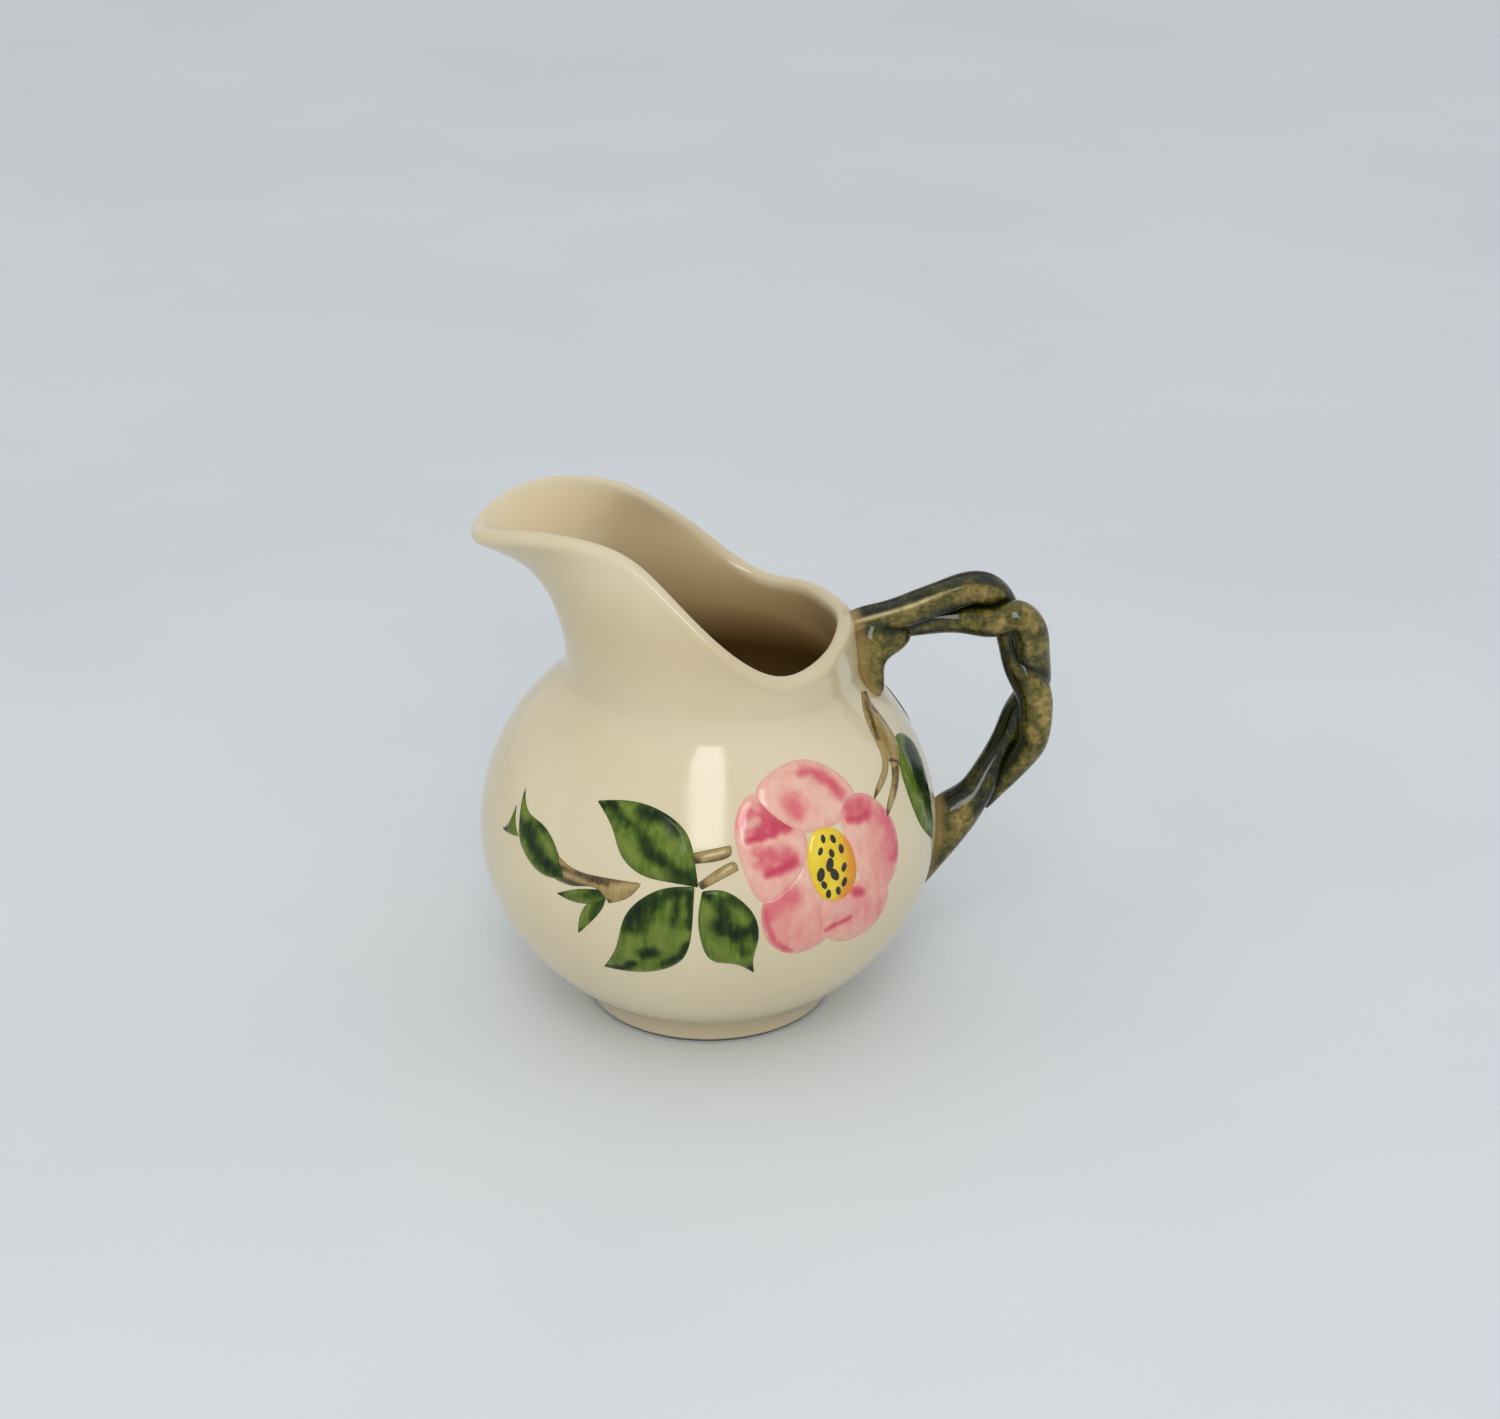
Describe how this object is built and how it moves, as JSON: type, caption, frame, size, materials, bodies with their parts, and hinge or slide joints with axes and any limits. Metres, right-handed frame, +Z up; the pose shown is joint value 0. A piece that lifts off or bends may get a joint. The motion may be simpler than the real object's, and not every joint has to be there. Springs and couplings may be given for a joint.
{
  "type": "cream jug",
  "caption": "Small round-bellied glazed cream jug with a high swept pouring lip, an entwined twig handle and a raised painted wild rose on each side.",
  "frame": {"origin": "centre of the foot ring's resting plane", "axes": "+Z up through the mouth, spout towards -X, handle towards +X"},
  "size_m": [0.1126, 0.091, 0.1035],
  "materials": {
    "cream_glaze": "gloss",
    "bark_glaze": "gloss",
    "petal_glaze": "gloss",
    "eye_glaze": "gloss",
    "stamen_glaze": "gloss",
    "leaf_glaze": "gloss",
    "stem_glaze": "gloss"
  },
  "bodies": {
    "root": {"jug_body": "cream_glaze", "foot_ring": "cream_glaze", "handle_upper_twig": "bark_glaze", "handle_lower_twig": "bark_glaze", "handle_side_shoot": "bark_glaze", "rose_eye": "eye_glaze", "rose_eye_back": "eye_glaze", "rose_petal_right": "petal_glaze", "rose_petal_right_back": "petal_glaze", "rose_petal_top": "petal_glaze", "rose_petal_top_back": "petal_glaze", "rose_petal_left": "petal_glaze", "rose_petal_left_back": "petal_glaze", "rose_petal_lower_right": "petal_glaze", "rose_petal_lower_right_back": "petal_glaze", "rose_petal_bottom": "petal_glaze", "rose_petal_bottom_back": "petal_glaze", "leaf_upper": "leaf_glaze", "leaf_upper_back": "leaf_glaze", "leaf_lower_left": "leaf_glaze", "leaf_lower_left_back": "leaf_glaze", "leaf_lower_right": "leaf_glaze", "leaf_lower_right_back": "leaf_glaze", "stem_upper": "stem_glaze", "stem_upper_back": "stem_glaze", "stem_lower": "stem_glaze", "stem_lower_back": "stem_glaze", "bud_calyx": "leaf_glaze", "bud_calyx_back": "leaf_glaze", "bud_sepal": "leaf_glaze", "bud_sepal_back": "leaf_glaze", "bud_twig": "stem_glaze", "bud_twig_back": "stem_glaze", "bud_leaf_side": "leaf_glaze", "bud_leaf_side_back": "leaf_glaze", "bud_leaf_down": "leaf_glaze", "bud_leaf_down_back": "leaf_glaze", "vine_stem": "stem_glaze", "vine_stem_back": "stem_glaze", "vine_twig_left": "stem_glaze", "vine_twig_left_back": "stem_glaze", "vine_twig_right": "stem_glaze", "vine_twig_right_back": "stem_glaze", "vine_leaf": "leaf_glaze", "vine_leaf_back": "leaf_glaze", "rose_stamens": "stamen_glaze", "rose_stamens_back": "stamen_glaze"}
  },
  "joints": []
}
